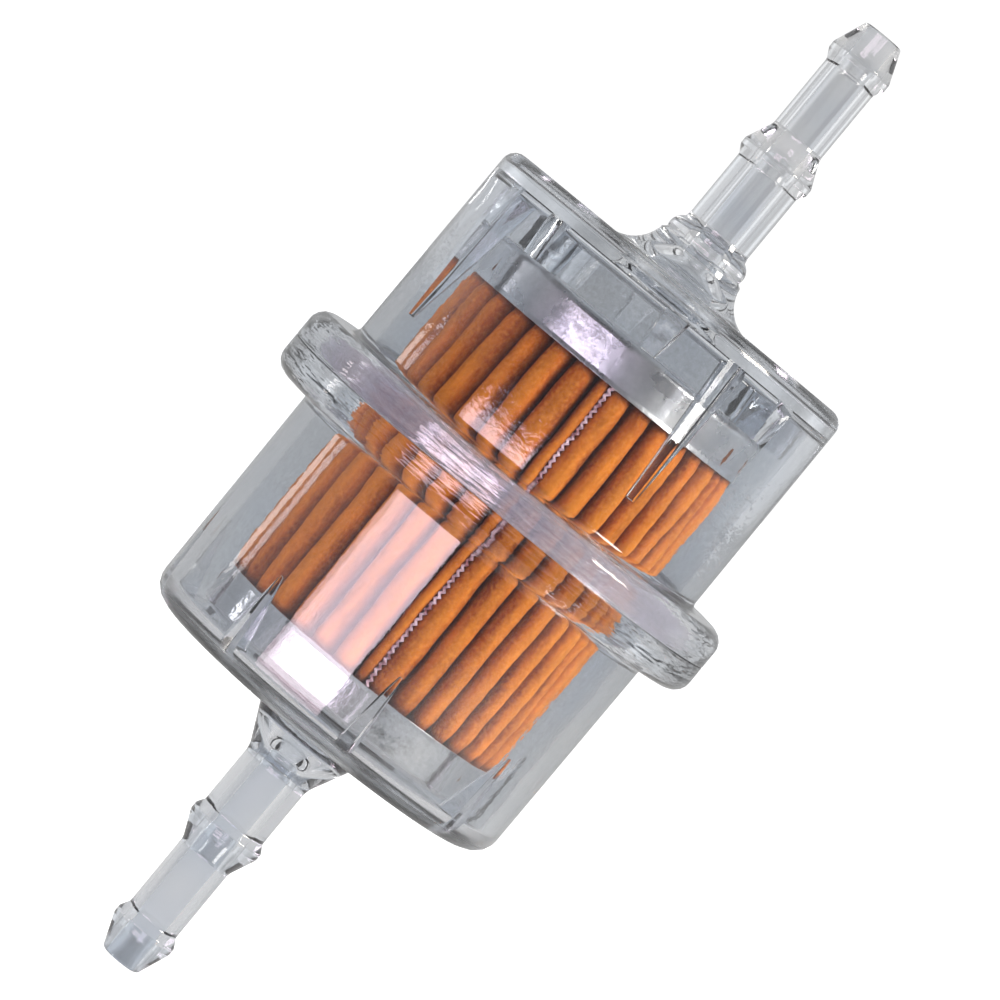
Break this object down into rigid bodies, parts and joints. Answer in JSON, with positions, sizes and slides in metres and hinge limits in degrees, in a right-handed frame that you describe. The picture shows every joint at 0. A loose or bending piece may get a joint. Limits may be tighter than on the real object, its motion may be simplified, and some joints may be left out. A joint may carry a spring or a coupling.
{
  "type": "in-line fuel filter",
  "caption": "In-line fuel filter with a clear plastic housing welded at a thick middle ring, stepped hose stubs at both ends and a pleated paper element between metal caps.",
  "frame": {"origin": "centre of the weld between the two housings, on the filter's axis, which is also the centre of its box", "axes": "+Z along the axis towards the inlet stub's tip; -Z towards the outlet stub's tip; the paper's glued seam is close to -Y"},
  "size_m": [0.0546, 0.0546, 0.125],
  "materials": {
    "clear_plastic": "clear, glossy moulded plastic with a slight grey tint",
    "weld_plastic": "clear fused plastic, slightly milky",
    "filter_paper": "resin-treated orange filter paper, matte with a faint grain",
    "seam_glue": "pale hot-melt glue, glossy and uneven",
    "tinplate": "bright tinplate with fine rolling marks",
    "potting": "cured amber adhesive",
    "core_steel": "plain tinplate",
    "gasket_rubber": "matte black fuel-resistant rubber"
  },
  "bodies": {
    "root": {"inlet_housing": "clear_plastic", "outlet_housing": "clear_plastic", "weld_bead": "weld_plastic", "pleated_paper": "filter_paper", "seam_glue": "seam_glue", "inlet_end_cap": "tinplate", "outlet_end_cap": "tinplate", "inlet_potting": "potting", "outlet_potting": "potting", "core_tube": "core_steel", "outlet_gasket": "gasket_rubber"}
  },
  "joints": []
}
